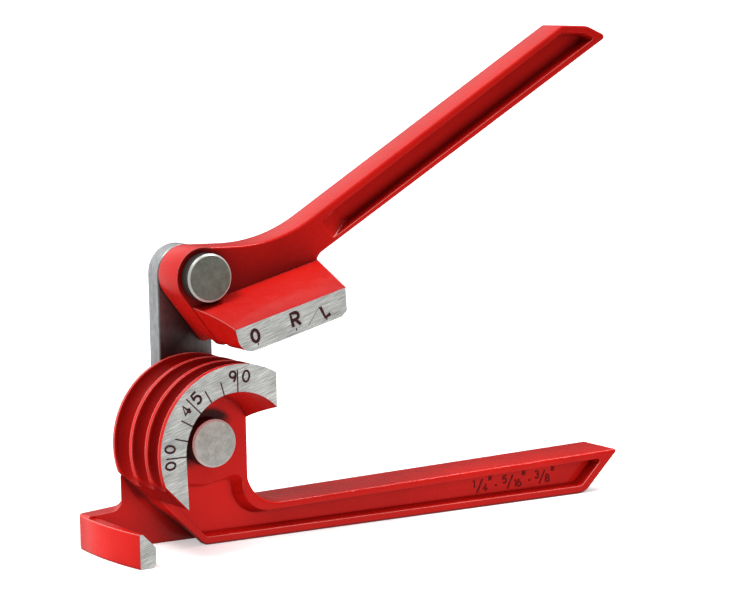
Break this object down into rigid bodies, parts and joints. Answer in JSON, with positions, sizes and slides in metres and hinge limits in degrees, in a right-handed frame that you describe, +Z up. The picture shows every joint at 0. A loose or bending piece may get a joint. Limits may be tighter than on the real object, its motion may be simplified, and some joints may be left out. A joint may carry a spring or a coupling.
{
  "type": "tube bender",
  "caption": "Hand tube bender: grooved former with an angle dial, a hook and two handles joined by a pivoting link plate.",
  "frame": {"origin": "middle of the underside of the bounding box, on the surface the tool stands on", "axes": "+X along the lower handle to its tip, +Y from the dial face to the back, +Z up, towards the lever"},
  "size_m": [0.173, 0.0394, 0.1418],
  "materials": {
    "red_paint": "glossy red enamel on a casting, bare brushed metal on the dial, hook end and shoe faces",
    "plated_steel": "satin zinc plate",
    "pin_steel": "turned steel with worn, mottled faces",
    "washer_steel": "plain steel",
    "spring_steel": "dark spring steel"
  },
  "bodies": {
    "former": {"former_handle": "red_paint"},
    "link": {"link_plate": "plated_steel", "former_pin": "pin_steel", "lever_pin": "pin_steel", "former_washer": "washer_steel", "lever_washer": "washer_steel", "former_ring": "spring_steel", "lever_ring": "spring_steel"},
    "lever": {"lever_handle": "red_paint"}
  },
  "joints": [
    {"name": "link_swing", "type": "hinge", "parent": "former", "child": "link", "pos_m": [-0.05355, 0.0083, 0.0294], "axis": [0, 1, 0], "range_deg": [-90, 20]},
    {"name": "lever_swing", "type": "hinge", "parent": "link", "child": "lever", "pos_m": [-0.05355, 0.0083, 0.07578], "axis": [0, 1, 0], "range_deg": [-110, 17]}
  ]
}
